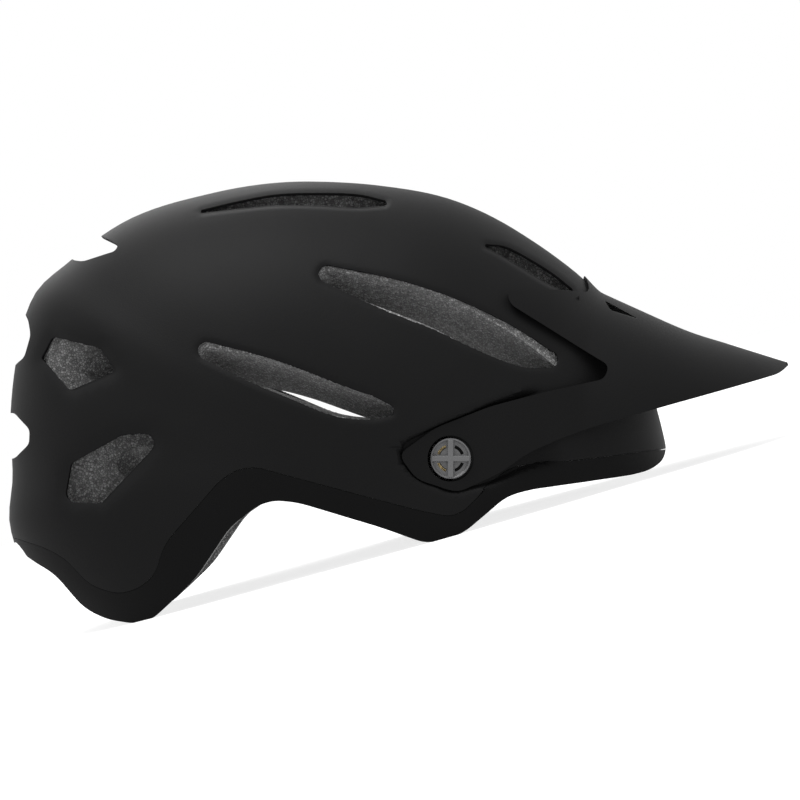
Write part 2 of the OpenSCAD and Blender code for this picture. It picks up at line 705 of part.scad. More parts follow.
front_strap();  // front_strap_left
mirror([0, 1, 0]) front_strap();  // front_strap_right
rear_strap();  // rear_strap_left
mirror([0, 1, 0]) rear_strap();  // rear_strap_right
strap_divider();  // strap_divider_left
mirror([0, 1, 0]) strap_divider();  // strap_divider_right
divider_cam();  // divider_cam_left
mirror([0, 1, 0]) divider_cam();  // divider_cam_right
chin_strap();  // chin_strap_left
mirror([0, 1, 0]) chin_strap();  // chin_strap_right
buckle_socket();
buckle_plug();
strap_keeper();
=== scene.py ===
"""Trail cycling helmet: moulded shells, bead foam liner, tilting visor, pads, webbing and fit cradle."""

import json
import math

import bmesh
import bpy
import numpy as np
from mathutils import Matrix, Vector, geometry


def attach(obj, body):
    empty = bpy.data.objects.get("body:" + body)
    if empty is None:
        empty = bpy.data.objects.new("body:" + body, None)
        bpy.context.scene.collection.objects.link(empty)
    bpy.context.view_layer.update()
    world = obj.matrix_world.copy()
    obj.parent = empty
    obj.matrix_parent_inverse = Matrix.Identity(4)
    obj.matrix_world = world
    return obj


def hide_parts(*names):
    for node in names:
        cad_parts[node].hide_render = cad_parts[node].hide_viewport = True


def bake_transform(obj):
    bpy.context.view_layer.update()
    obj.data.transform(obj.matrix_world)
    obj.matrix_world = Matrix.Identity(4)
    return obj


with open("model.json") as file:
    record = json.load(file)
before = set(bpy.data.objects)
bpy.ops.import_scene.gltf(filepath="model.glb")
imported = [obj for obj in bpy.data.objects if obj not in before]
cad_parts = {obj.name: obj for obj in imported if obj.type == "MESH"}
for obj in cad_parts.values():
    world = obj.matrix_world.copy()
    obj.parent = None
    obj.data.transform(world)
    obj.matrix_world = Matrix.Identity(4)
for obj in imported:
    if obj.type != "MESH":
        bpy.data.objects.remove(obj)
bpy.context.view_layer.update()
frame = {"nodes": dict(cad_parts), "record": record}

bl_info = {
    "name": "Trail helmet",
    "version": (1, 0, 0),
    "blender": (4, 5, 0),
    "location": "View3D > Sidebar > Helmet",
    "description": "Builds a vented cycling helmet round its packed frame",
    "category": "Object",
}

MM = 0.001
SHARP = math.radians(32)
# Half width of a cutter that passes right through the helmet, in millimetres
THROUGH = 130
# Lean of the camera in the symmetry plane
CAMERA_LEAN = math.radians(15.6)

# ---------------------------------------------------------------- outer surface, in millimetres

CORE = np.array([-30.0, 48.0])
HALF_W = 105.9
SQUARENESS = 2.3
# Angle above the front and distance from the core, in the plane of symmetry
PROFILE = [(-60, 140), (-30, 152), (-15, 145), (-8, 142), (0, 140), (10, 135.5), (17, 132.5),
           (25, 128), (33, 124.5), (49, 120), (64, 116.2), (79, 116.5), (100, 123), (117, 134),
           (129, 140.5), (137, 146), (150, 142.5), (157, 141), (169, 139.5), (178, 144.2), (190, 142),
           (210, 132), (240, 128), (270, 132), (300, 140), (330, 152), (345, 145), (352, 142)]


def cubic_through(points, x):
    """Smooth curve through points of a table, with each slope taken from its neighbours."""
    last = len(points) - 1
    i = 0
    while i < last - 1 and x > points[i + 1][0]:
        i += 1
    (x1, y1), (x2, y2) = points[i], points[i + 1]
    x0, y0 = points[max(i - 1, 0)]
    x3, y3 = points[min(i + 2, last)]
    h = x2 - x1
    t = (x - x1) / h
    m1 = (y2 - y0) / (x2 - x0) * h
    m2 = (y3 - y1) / (x3 - x1) * h
    return (y1 * (1 + 2 * t) * (1 - t) ** 2 + m1 * t * (1 - t) ** 2
            + y2 * t * t * (3 - 2 * t) - m2 * t * t * (1 - t))


FINE_ANGLE = np.arange(0, 360.01, 0.25)
FINE_RADIUS = np.array([cubic_through(PROFILE, a if a < 330 else a - 360) for a in FINE_ANGLE])


def profile_radius(angle):
    return np.interp(np.mod(angle, 360), FINE_ANGLE, FINE_RADIUS)


def surface_points(angle, lat, depth):
    """Points of the outer surface sunk by a depth, at angles round the core and latitudes to the side."""
    power = 2 / SQUARENESS
    rho = (profile_radius(angle) - depth) * np.cos(lat) ** power
    y = (HALF_W - depth) * np.sign(lat) * np.abs(np.sin(lat)) ** power
    turn = np.radians(angle)
    return np.stack([CORE[0] + rho * np.cos(turn), y, CORE[1] + rho * np.sin(turn)], axis=1)


def surface_half_width(x, z):
    """Half width of the outer surface at a side view position, or 0 outside its profile."""
    rho = np.hypot(x - CORE[0], z - CORE[1])
    s = rho / profile_radius(np.degrees(np.arctan2(z - CORE[1], x - CORE[0])))
    return np.where(s >= 1, 0, HALF_W * np.clip(1 - s ** SQUARENESS, 0, 1) ** (1 / SQUARENESS))


def ease(t):
    t = np.clip(t, 0, 1)
    return t * t * (3 - 2 * t)


# ---------------------------------------------------------------- outlines in side view, x and z

# Chains of circles: x, z and radius
VENT_CROWN = [(-56, 160.5, 0.8), (-41, 159, 1.8), (-24, 156.7, 2.6), (-7, 152.2, 3), (9, 147, 3.2),
              (20, 143, 1.4)]
VENT_FRONT = [(57, 113.5, 1), (64, 109, 2.4), (73, 100, 2.8), (80, 92.5, 2.6), (86.5, 85.5, 1.4)]
VENT_TEMPLE = [(-11, 119.5, 4), (12, 104, 7.2), (30, 91.5, 8), (46, 78, 8.3), (60, 66, 7), (69, 60, 4)]
VENT_MIDDLE = [(-68, 102, 4), (-50, 89, 6.2), (-37, 79.5, 6.8), (-21, 67.5, 6.8), (-8, 60.5, 5.2), (-2, 57.8, 3)]
VENT_UPPER_REAR = [(-136.5, 118.5, 1.5), (-130, 123.5, 2.5), (-114, 114, 3), (-110, 106, 2), (-128, 104.5, 2.5)]
VENT_LOWER_REAR = [(-134, 69, 4), (-112, 74.5, 3.5), (-104, 72, 4.5), (-129, 56.5, 4), (-138, 59.5, 4.5)]
SCOOPS = [
    [(-126, 178), (-117, 157), (-111, 154), (-96, 154), (-94, 156), (-97.5, 160), (-104, 165.5), (-109, 178)],
    [(-172, 122), (-154, 119.5), (-146, 121.5), (-140.5, 130), (-140.5, 137), (-146, 146), (-172, 146)],
    [(-186, 84), (-162, 81), (-153, 85), (-151, 91), (-157, 100), (-186, 106)],
]
HEM = [(120, 28), (111, 28), (110.5, 11), (106, 5), (98, 3), (90, 3.5), (46, 10), (36, 10), (14, 0), (-1, 0),
       (-18, 12), (-48, 31), (-57, 34.5), (-64, 34.5), (-78, 29), (-98, 12), (-111, 5), (-121, 0), (-129, 0),
       (-141, 5), (-149, 12), (-157, 29), (-168, 39), (-174, 48), (-190, 48)]
SEAM = [(-190, 51), (-173, 49), (-158, 41), (-150, 34), (-143, 20.5), (-132, 14), (-123, 14), (-114, 18),
        (-107, 29), (-90, 40), (-77, 48.5), (-69, 51), (-61, 50), (-34, 34), (0, 14), (11, 8.5), (17, 9),
        (37, 20), (43, 21), (76, 15), (101, 11), (130, 4)]
PIVOT = (18.0, 31.5)
SCREW_HOLE = 12.2
ARM = [(-2.5, 39), (15, 45.5), (40, 48), (66, 48), (66, 27), (50, 25), (36, 20), (17, 17), (2, 27)]


def chain_outline(chain, steps=10):
    """Outline round a chain of circles: a smooth band as wide as the circles, with round ends."""
    places = np.linspace(0, len(chain) - 1, (len(chain) - 1) * steps + 1)
    track = [[cubic_through([(i, c[k]) for i, c in enumerate(chain)], t) for t in places] for k in range(3)]
    track = np.array(track).T
    heading = np.gradient(track[:, :2], axis=0)
    heading /= np.linalg.norm(heading, axis=1)[:, None]
    left = np.stack([-heading[:, 1], heading[:, 0]], axis=1)
    radius = track[:, 2:3]
    upper = track[:, :2] + left * radius
    lower = track[:, :2] - left * radius
    caps = []
    for end, sign in ((-1, 1), (0, -1)):
        turns = np.linspace(0, math.pi, 12)[1:-1]
        across, along = sign * left[end], sign * heading[end]
        caps.append([track[end, :2] + radius[end] * (across * math.cos(a) + along * math.sin(a)) for a in turns])
    return np.vstack([upper, caps[0], lower[::-1], caps[1]])


def wrapped_outline(chain, grow=0.0):
    """Convex outline round all the circles of a chain."""
    rim = [(x + (r + grow) * math.cos(a), z + (r + grow) * math.sin(a))
           for x, z, r in chain for a in np.linspace(0, 2 * math.pi, 33)[:-1]]
    return np.array([rim[i] for i in geometry.convex_hull_2d(rim)])


def rounded(outline, radius, steps=5, closed=True):
    """The outline with each corner replaced by an arc-like curve of about that radius."""
    out = []
    n = len(outline)
    for i, corner in enumerate(outline):
        corner = np.array(corner, float)
        if not closed and i in (0, n - 1):
            out.append(corner)
            continue
        before = np.array(outline[i - 1], float) - corner
        after = np.array(outline[(i + 1) % n], float) - corner
        reach = min(radius, 0.45 * np.linalg.norm(before), 0.45 * np.linalg.norm(after))
        start = corner + before / np.linalg.norm(before) * reach
        end = corner + after / np.linalg.norm(after) * reach
        for t in np.linspace(0, 1, steps):
            out.append((1 - t) ** 2 * start + 2 * t * (1 - t) * corner + t * t * end)
    return np.array(out)


def turned(outline, degrees, centre=PIVOT):
    a = math.radians(degrees)
    c = np.array(centre)
    spin = np.array([[math.cos(a), -math.sin(a)], [math.sin(a), math.cos(a)]])
    return (np.array(outline) - c) @ spin.T + c


def signed_distance(points, outline):
    """Distance of side view points to a closed outline, negative inside it."""
    a = np.asarray(outline, float)
    b = np.roll(a, -1, axis=0)
    best = np.full(len(points), 1e9)
    inside = np.zeros(len(points), bool)
    for p, q in zip(a, b):
        d = q - p
        t = np.clip(((points - p) @ d) / max(d @ d, 1e-12), 0, 1)
        best = np.minimum(best, np.linalg.norm(points - p - t[:, None] * d, axis=1))
        crosses = (p[1] > points[:, 1]) != (q[1] > points[:, 1])
        with np.errstate(divide="ignore", invalid="ignore"):
            at = (q[0] - p[0]) * (points[:, 1] - p[1]) / (q[1] - p[1]) + p[0]
        inside ^= crosses & (points[:, 0] < at)
    return np.where(inside, -best, best)


SIDE_VENTS = [chain_outline(c) for c in (VENT_CROWN, VENT_FRONT, VENT_TEMPLE, VENT_MIDDLE)]
SIDE_VENTS += [wrapped_outline(c) for c in (VENT_UPPER_REAR, VENT_LOWER_REAR)]
SCOOP_OUTLINES = [rounded(s, 2) for s in SCOOPS]
HEM_BELOW = np.vstack([rounded(HEM, 5, closed=False), [(-190, -160), (120, -160)]])
ABOVE_SEAM = np.vstack([rounded(SEAM, 7, closed=False), [(130, 200), (-190, 200)]])
BELOW_SEAM = np.vstack([rounded(SEAM, 7, closed=False), [(130, -160), (-190, -160)]])
ARM_OUTLINE = rounded(ARM, 5)
RECESS_DEPTH = 3.5
# Depth that the shell rolls in round each vent's edge, and how far from the edge it starts
ROLLS = [(outline, 0.8, 2.5) for outline in SIDE_VENTS[:4]]
ROLLS += [(outline, 2.2, 8.0) for outline in SIDE_VENTS[4:]]


def surface_depth(angle, lat):
    """Extra depth of the moulded surface: rolled vent edges and the recess for the visor's arms."""
    base = surface_points(angle, lat, 0)
    side = base[:, [0, 2]]
    depth = np.zeros(len(side))
    for outline, sink, reach in ROLLS:
        d = np.maximum(signed_distance(side, outline), 0)
        depth = np.maximum(depth, sink * np.clip(1 - d / reach, 0, 1) ** 2)
    arm = np.minimum(signed_distance(side, ARM_OUTLINE), signed_distance(side, turned(ARM_OUTLINE, -10)))
    arm = np.minimum(arm, signed_distance(side, turned(ARM_OUTLINE, -5)))
    flank = ease((np.abs(base[:, 1]) - 50) / 20)
    fade = ease((64 - side[:, 0]) / 10)
    depth = np.maximum(depth, RECESS_DEPTH * flank * fade * ease((2.6 - arm) / 2.2))
    return depth


def feature_band(angle, lat):
    """Distance in side view to the nearest moulded edge."""
    side = surface_points(angle, lat, 0)[:, [0, 2]]
    band = np.full(len(side), 1e9)
    for outline in SIDE_VENTS + [ARM_OUTLINE, turned(ARM_OUTLINE, -10)]:
        band = np.minimum(band, np.abs(signed_distance(side, outline)))
    return band


def sphere_angles(co):
    return np.degrees(np.arctan2(co[:, 1], co[:, 0])), np.arcsin(np.clip(co[:, 2], -1, 1))


def moulded_skin(depth, around, rows, fine):
    """Closed bmesh of the moulded surface sunk by a depth, finer beside its edges."""
    bm = bmesh.new()
    bmesh.ops.create_uvsphere(bm, u_segments=around, v_segments=rows, radius=1)
    for reach in fine:
        co = np.array([v.co[:] for v in bm.verts])
        near = feature_band(*sphere_angles(co)) < reach
        bm.verts.index_update()
        edges = [e for e in bm.edges if near[e.verts[0].index] and near[e.verts[1].index]]
        bmesh.ops.subdivide_edges(bm, edges=edges, cuts=1, use_grid_fill=True)
        for v in bm.verts:
            v.co.normalize()
    co = np.array([v.co[:] for v in bm.verts])
    angle, lat = sphere_angles(co)
    points = surface_points(angle, lat, depth + surface_depth(angle, lat)) * MM
    for v, p in zip(bm.verts, points):
        v.co = p
    bmesh.ops.recalc_face_normals(bm, faces=bm.faces)
    return bm


# ---------------------------------------------------------------- mesh helpers

def finish_mesh(bm, sharp=SHARP):
    """Smooth faces, with the edges beyond an angle left sharp."""
    for face in bm.faces:
        face.smooth = True
    for edge in bm.edges:
        edge.smooth = not (len(edge.link_faces) == 2 and edge.calc_face_angle(0) > sharp)


def make_piece(name, bm, material, body, replaces, sharp=SHARP):
    """A finished piece from a bmesh, riding on a body and standing for CAD nodes."""
    finish_mesh(bm, sharp)
    mesh = bpy.data.meshes.new(name)
    bm.to_mesh(mesh)
    bm.free()
    obj = bpy.data.objects.new(name, mesh)
    bpy.context.scene.collection.objects.link(obj)
    mesh.materials.append(material)
    if body:
        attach(obj, body)
    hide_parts(*replaces)
    return obj


def scratch(bm, name="scratch"):
    mesh = bpy.data.meshes.new(name)
    bm.to_mesh(mesh)
    bm.free()
    obj = bpy.data.objects.new(name, mesh)
    bpy.context.scene.collection.objects.link(obj)
    return obj


def drop(obj):
    mesh = obj.data
    bpy.data.objects.remove(obj)
    bpy.data.meshes.remove(mesh)


def prism(outline, low, high, drift=(0, 0), y_face=0.0):
    """Closed bmesh of a side view outline between two widths, drifting as it goes inwards."""
    bm = bmesh.new()
    inwards = y_face - low
    verts = [bm.verts.new((x + drift[0] * inwards, low, z + drift[1] * inwards)) for x, z in outline]
    face = bm.faces.new(verts)
    made = bmesh.ops.extrude_face_region(bm, geom=[face])
    move = (drift[0] * (low - high), high - low, drift[1] * (low - high))
    bmesh.ops.translate(bm, vec=move, verts=[g for g in made["geom"] if isinstance(g, bmesh.types.BMVert)])
    bmesh.ops.recalc_face_normals(bm, faces=bm.faces)
    bmesh.ops.scale(bm, vec=(MM, MM, MM), verts=bm.verts)
    return bm


def circle(across, up, radius, steps):
    """Points round a circle."""
    turns = np.linspace(0, 2 * math.pi, steps)
    return [(across + radius * math.cos(a), up + radius * math.sin(a)) for a in turns]


def hull(points):
    return [points[i] for i in geometry.convex_hull_2d(points)]


def front_prism(outline, low, high):
    """Closed bmesh of a front view outline, y and z, between two lengths along x."""
    bm = bmesh.new()
    face = bm.faces.new([bm.verts.new((low, y, z)) for y, z in outline])
    made = bmesh.ops.extrude_face_region(bm, geom=[face])
    moved = [g for g in made["geom"] if isinstance(g, bmesh.types.BMVert)]
    bmesh.ops.translate(bm, vec=(high - low, 0, 0), verts=moved)
    bmesh.ops.recalc_face_normals(bm, faces=bm.faces)
    bmesh.ops.scale(bm, vec=(MM, MM, MM), verts=bm.verts)
    return bm


def mirrored(bm):
    copy = bm.copy()
    bmesh.ops.scale(copy, vec=(1, -1, 1), verts=copy.verts)
    bmesh.ops.reverse_faces(copy, faces=copy.faces)
    return copy


def combine(body, cutters, operation="DIFFERENCE", tag=0):
    """Cuts or joins closed bmeshes to a body. Faces from a cutter take the tag as their material number."""
    obj = scratch(body)
    spare = [bpy.data.materials.get(n) or bpy.data.materials.new(n) for n in ("skin_side", "cut_side")]
    for m in spare:
        obj.data.materials.append(m)
    tools = []
    for cutter in cutters:
        for face in cutter.faces:
            face.material_index = tag
        tool = scratch(cutter)
        for m in spare:
            tool.data.materials.append(m)
        mod = obj.modifiers.new("cut", "BOOLEAN")
        mod.operation = operation
        mod.solver = "MANIFOLD"
        mod.material_mode = "INDEX"
        mod.object = tool
        tools.append(tool)
    result = bmesh.new()
    graph = bpy.context.evaluated_depsgraph_get()
    mesh = bpy.data.meshes.new_from_object(obj.evaluated_get(graph))
    result.from_mesh(mesh)
    bpy.data.meshes.remove(mesh)
    for o in [obj, *tools]:
        drop(o)
    return result


def skin_only(bm):
    """Removes the faces that cutters left, so that an open skin remains."""
    bmesh.ops.delete(bm, geom=[f for f in bm.faces if f.material_index == 1], context="FACES")
    bmesh.ops.delete(bm, geom=[v for v in bm.verts if not v.link_faces], context="VERTS")
    bmesh.ops.remove_doubles(bm, verts=bm.verts, dist=2e-6)


def modify(obj, kind, **settings):
    mod = obj.modifiers.new(kind.lower(), kind)
    for key, value in settings.items():
        setattr(mod, key, value)
    return mod


def bevel(obj, width, segments):
    """Rounds the edges sharper than 50 degrees."""
    modify(obj, "BEVEL", width=width, segments=segments, limit_method="ANGLE", angle_limit=math.radians(50))


# ---------------------------------------------------------------- materials

class Sock:
    """A shader socket that takes part in Python arithmetic by adding Math nodes."""

    def __init__(self, shader, socket):
        self.shader = shader
        self.socket = socket

    def math(self, operation, *others, clamp=False):
        settings = {"operation": operation, "use_clamp": clamp}
        return self.shader.node("ShaderNodeMath", settings, [self, *others])

    def __add__(self, other):
        return self.math("ADD", other)

    def __radd__(self, other):
        return self.math("ADD", other)

    def __sub__(self, other):
        return self.math("SUBTRACT", other)

    def __rsub__(self, other):
        return self.shader.node("ShaderNodeMath", {"operation": "SUBTRACT"}, [other, self])

    def __mul__(self, other):
        return self.math("MULTIPLY", other)

    def __rmul__(self, other):
        return self.math("MULTIPLY", other)

    def __truediv__(self, other):
        return self.math("DIVIDE", other)

    def __pow__(self, other):
        return self.math("POWER", other)


class Shader:
    """A material being built: each node is added by its type, settings and inputs."""

    def __init__(self, name, **principled):
        self.material = bpy.data.materials.new(name)
        self.material.use_nodes = True
        self.tree = self.material.node_tree
        self.surface = self.tree.nodes["Principled BSDF"]
        for key, value in principled.items():
            self.set(key.replace("_", " "), value)

    def set(self, socket, value):
        target = self.surface.inputs[socket]
        if isinstance(value, Sock):
            self.tree.links.new(value.socket, target)
        else:
            target.default_value = value

    def node(self, kind, settings=None, inputs=(), output=0):
        made = self.tree.nodes.new(kind)
        for key, value in (settings or {}).items():
            if key == "stops":
                ramp = made.color_ramp
                ramp.elements[0].position, ramp.elements[0].color = value[0]
                ramp.elements[1].position, ramp.elements[1].color = value[-1]
                for place, colour in value[1:-1]:
                    ramp.elements.new(place).color = colour
            else:
                setattr(made, key, value)
        pairs = inputs.items() if isinstance(inputs, dict) else enumerate(inputs)
        for key, value in pairs:
            if isinstance(value, Sock):
                self.tree.links.new(value.socket, made.inputs[key])
            else:
                made.inputs[key].default_value = value
        return Sock(self, made.outputs[output])

    def place(self):
        return self.node("ShaderNodeTexCoord", output="Object")

    def noise(self, scale, detail=3.0, rough=0.5, where=None):
        return self.node("ShaderNodeTexNoise", {}, {"Vector": where or self.place(), "Scale": scale,
                                                    "Detail": detail, "Roughness": rough}, output="Fac")

    def cells(self, scale, feature="F1", output="Distance", where=None, randomness=1.0):
        return self.node("ShaderNodeTexVoronoi", {"feature": feature},
                         {"Vector": where or self.place(), "Scale": scale, "Randomness": randomness},
                         output=output)

    def blend(self, factor, low, high):
        return self.node("ShaderNodeMix", {"data_type": "RGBA"}, {0: factor, 6: low, 7: high}, output=2)

    def remap(self, value, low, high, to_low=0.0, to_high=1.0):
        return self.node("ShaderNodeMapRange", {}, [value, low, high, to_low, to_high])

    def bump(self, height, distance, strength=1.0):
        made = self.node("ShaderNodeBump", {}, {"Height": height, "Distance": distance, "Strength": strength})
        self.set("Normal", made)


def grey(level, tint=0.0):
    return (level, level, level * (1 + tint), 1.0)


def matt_plastic(name, level, rough, grain=0.00004, gloss=0.12):
    """Matt moulded plastic: fine eggshell grain, faint cloudiness and slight rubbing."""
    s = Shader(name, Specular_IOR_Level=gloss)
    cloud = s.noise(9.0, 4.0)
    fine = s.noise(2600.0, 2.0, 0.6)
    speck = s.cells(1500.0)
    s.set("Base Color", s.blend(s.remap(cloud, 0.3, 0.7), grey(level * 0.88, 0.03), grey(level * 1.12, 0.02)))
    s.set("Roughness", s.remap(fine + cloud * 0.5, 0.4, 1.1, rough - 0.05, rough + 0.06))
    s.bump(fine * 0.6 + speck * 0.8, grain)
    return s.material


def bead_foam():
    """Expanded bead foam: pressed cells of uneven tone with dark joints and glinting faces."""
    s = Shader("bead_foam", Specular_IOR_Level=0.3)
    cell = s.cells(950.0, output="Color")
    tone = s.node("ShaderNodeSeparateColor", {}, [cell], output=0)
    edge = s.cells(950.0, feature="DISTANCE_TO_EDGE")
    joint = s.remap(edge, 0.0, 0.16)
    fine = s.noise(2400.0, 3.0, 0.7)
    shade = s.remap(tone * 0.75 + fine * 0.5, 0.25, 0.95)
    body = s.blend(shade, grey(0.10), grey(0.30))
    s.set("Base Color", s.blend(joint, grey(0.06), body))
    s.set("Roughness", s.remap(tone, 0.0, 1.0, 0.62, 0.9))
    s.bump(joint * 0.7 + tone * 0.3 + fine * 0.25, 0.0002)
    return s.material


def knit_fabric():
    """Soft knitted pad cover: rows of small loops with a fuzzy sheen."""
    s = Shader("knit_fabric", Roughness=0.95, Sheen_Weight=0.35, Sheen_Roughness=0.6)
    place = s.place()
    ribs = s.node("ShaderNodeTexWave", {"wave_type": "BANDS", "bands_direction": "DIAGONAL"},
                  {"Vector": place, "Scale": 320.0, "Distortion": 1.5, "Detail": 1.0}, output="Fac")
    loops = s.cells(900.0, where=place, randomness=0.45)
    fuzz = s.noise(1800.0, 3.0, 0.7)
    s.set("Base Color", s.blend(s.remap(loops + fuzz * 0.4, 0.2, 0.9), grey(0.012), grey(0.05, 0.04)))
    s.bump((1 - loops) * 0.8 + ribs * 0.5 + fuzz * 0.3, 0.0004)
    return s.material


def webbing_weave():
    """Woven strap: fine chevrons along the strap's own map, with soft selvedges."""
    s = Shader("webbing_weave", Roughness=0.85, Sheen_Weight=0.2)
    uv = s.node("ShaderNodeTexCoord", output="UV")
    across = s.node("ShaderNodeSeparateXYZ", {}, [uv], output=0)
    length = s.node("ShaderNodeSeparateXYZ", {}, [uv], output=1)
    zig = (across * 9.0).math("PINGPONG", 1.0)
    rows = (length * 900.0 + zig * 2.0).math("SINE") * 0.5 + 0.5
    warp = (across * 9.0 * 6.2832).math("SINE") * 0.5 + 0.5
    fuzz = s.noise(2200.0, 2.0, 0.6)
    weave = rows * 0.6 + warp * 0.4
    s.set("Base Color", s.blend(s.remap(weave + fuzz * 0.3, 0.2, 1.1), grey(0.010), grey(0.055, 0.03)))
    s.bump(weave, 0.0003)
    return s.material


def hook_tape():
    s = Shader("hook_tape", Roughness=0.8)
    hooks = s.cells(1400.0, randomness=0.3)
    s.set("Base Color", s.blend(s.remap(hooks, 0.1, 0.6), grey(0.05), grey(0.008)))
    s.bump(1 - hooks, 0.0006)
    return s.material


def turned_metal(name, colour, rough):
    """Machined metal with fine turning lines and faint staining."""
    s = Shader(name, Metallic=1.0)
    lines = s.noise(3000.0, 2.0, 0.5)
    stain = s.noise(120.0, 4.0)
    dark = tuple(c * 0.72 for c in colour[:3]) + (1.0,)
    s.set("Base Color", s.blend(s.remap(stain, 0.35, 0.7), colour, dark))
    s.set("Roughness", s.remap(lines, 0.3, 0.7, rough, rough + 0.15))
    s.bump(lines, 0.00003)
    return s.material


MATERIALS = {}


def make_materials():
    MATERIALS.update(
        shell=matt_plastic("shell_black", 0.0052, 0.55, gloss=0.05),
        lower=matt_plastic("shell_lower_black", 0.0032, 0.55, gloss=0.04),
        visor=matt_plastic("visor_black", 0.0045, 0.52, gloss=0.05),
        trim=matt_plastic("trim_black", 0.008, 0.38, 0.00003, 0.3),
        satin=matt_plastic("satin_grey", 0.07, 0.38, 0.00003, 0.4),
        foam=bead_foam(),
        pad=knit_fabric(),
        web=webbing_weave(),
        hook=hook_tape(),
        brass=turned_metal("turned_brass", (0.62, 0.48, 0.24, 1.0), 0.28),
        steel=turned_metal("sintered_steel", (0.45, 0.45, 0.46, 1.0), 0.38),
    )


# ---------------------------------------------------------------- head space and cutters

HEAD_CENTRE = (-32, 0, 36)
HEAD_SIZE = (112, 80, 106)
HEAD_LEAN = math.radians(15)


def head_solid(margin=0.0, segments=96):
    """Ellipsoid over an elliptical cylinder, leaned forward: the space for the head."""
    bm = bmesh.new()
    bmesh.ops.create_uvsphere(bm, u_segments=segments, v_segments=segments // 2, radius=1)
    for v in bm.verts:
        if v.co.z < -0.001:
            flat = Vector((v.co.x, v.co.y, 0))
            if flat.length > 0.2:
                v.co = flat.normalized() + Vector((0, 0, v.co.z * 1.15))
            else:
                v.co.z = -1.15
    size = [s - margin for s in HEAD_SIZE]
    bmesh.ops.scale(bm, vec=size, verts=bm.verts)
    bmesh.ops.rotate(bm, cent=(0, 0, 0), matrix=Matrix.Rotation(HEAD_LEAN, 3, "Y"), verts=bm.verts)
    bmesh.ops.translate(bm, vec=HEAD_CENTRE, verts=bm.verts)
    bmesh.ops.scale(bm, vec=(MM, MM, MM), verts=bm.verts)
    bmesh.ops.recalc_face_normals(bm, faces=bm.faces)
    return bm


def duct(start, end, radius):
    """Round duct with domed ends between two points, in millimetres."""
    bm = bmesh.new()
    a, b = Vector(start), Vector(end)
    length = (b - a).length + radius
    bmesh.ops.create_cone(bm, cap_ends=True, segments=32, radius1=radius, radius2=radius, depth=length)
    bmesh.ops.rotate(bm, cent=(0, 0, 0), matrix=(b - a).to_track_quat("Z", "Y").to_matrix(), verts=bm.verts)
    bmesh.ops.translate(bm, vec=(a + b) / 2, verts=bm.verts)
    bmesh.ops.scale(bm, vec=(MM, MM, MM), verts=bm.verts)
    return bm


def box_mm(low, high, round_by=0.0):
    """Closed box between two corners in millimetres, with rounded edges if asked."""
    bm = bmesh.new()
    bmesh.ops.create_cube(bm, size=1)
    low, high = Vector(low), Vector(high)
    bmesh.ops.scale(bm, vec=high - low, verts=bm.verts)
    bmesh.ops.translate(bm, vec=(low + high) / 2, verts=bm.verts)
    if round_by:
        bmesh.ops.bevel(bm, geom=bm.edges[:], affect="EDGES", offset=round_by,
                        segments=3, profile=0.5, material=-1)
    bmesh.ops.scale(bm, vec=(MM, MM, MM), verts=bm.verts)
    return bm


def pin_mm(centre, radius, low, high, segments=48):
    """Closed cylinder along Y over a side view centre, in millimetres."""
    bm = bmesh.new()
    bmesh.ops.create_cone(bm, cap_ends=True, segments=segments,
                          radius1=radius, radius2=radius, depth=high - low)
    bmesh.ops.rotate(bm, cent=(0, 0, 0), matrix=Matrix.Rotation(math.pi / 2, 3, "X"), verts=bm.verts)
    bmesh.ops.translate(bm, vec=(centre[0], (low + high) / 2, centre[1]), verts=bm.verts)
    bmesh.ops.scale(bm, vec=(MM, MM, MM), verts=bm.verts)
    return bm


def dial_bay():
    """Bay in the rear rim that leaves the fit dial free."""
    rim = circle(-24, 30, 16, 41) + circle(24, 30, 16, 41)
    rim += circle(-36, -12, 4, 21) + circle(36, -12, 4, 21)
    return front_prism(hull(rim), -190, -124)


def brow_vents():
    """Three vents in the brow: one across the middle and one on each flank."""
    middle = front_prism(hull(circle(-9, 56, 7.5, 25) + circle(9, 56, 7.5, 25)), 20, 180)
    flank = front_prism(hull(circle(34, 58, 6, 25) + circle(46, 51, 5, 25)), 20, 180)
    return [middle, flank, mirrored(flank)]


def opening_cutters():
    """Cutters of all the openings that shell and foam share."""
    return [*[prism(o, -THROUGH, THROUGH) for o in SCOOP_OUTLINES], dial_bay(), *brow_vents()]


# ---------------------------------------------------------------- pieces

def build_shells():
    """Upper and lower shell: one moulded skin cut along the seam and thickened."""
    sizes = bpy.context.scene.helmet
    skin = moulded_skin(0.0, 170, 96, (7, 3))
    vents = [prism(o, -THROUGH, THROUGH) for o in SIDE_VENTS]
    screw_holes = [pin_mm(PIVOT, SCREW_HOLE, 80, THROUGH), pin_mm(PIVOT, SCREW_HOLE, -THROUGH, -80)]
    skin = combine(skin, vents + opening_cutters() + screw_holes, tag=1)
    halves = (("upper_shell", BELOW_SEAM, "shell", 0.1), ("lower_shell", ABOVE_SEAM, "lower", -0.1))
    for node, beyond, finish, gap in halves:
        shifted = [(x, z + gap) for x, z in beyond]
        away = [prism(shifted, -THROUGH, THROUGH), prism(HEM_BELOW, -THROUGH, THROUGH)]
        part = combine(skin.copy(), away, tag=1)
        skin_only(part)
        obj = make_piece(node + "_moulding", part, MATERIALS[finish], "helmet", [node], sharp=math.radians(60))
        modify(obj, "SOLIDIFY", thickness=sizes.shell_thickness, offset=-1.0, use_even_offset=True)
        bevel(obj, sizes.edge_round, 2)
        modify(obj, "WEIGHTED_NORMAL", keep_sharp=True)
    skin.free()


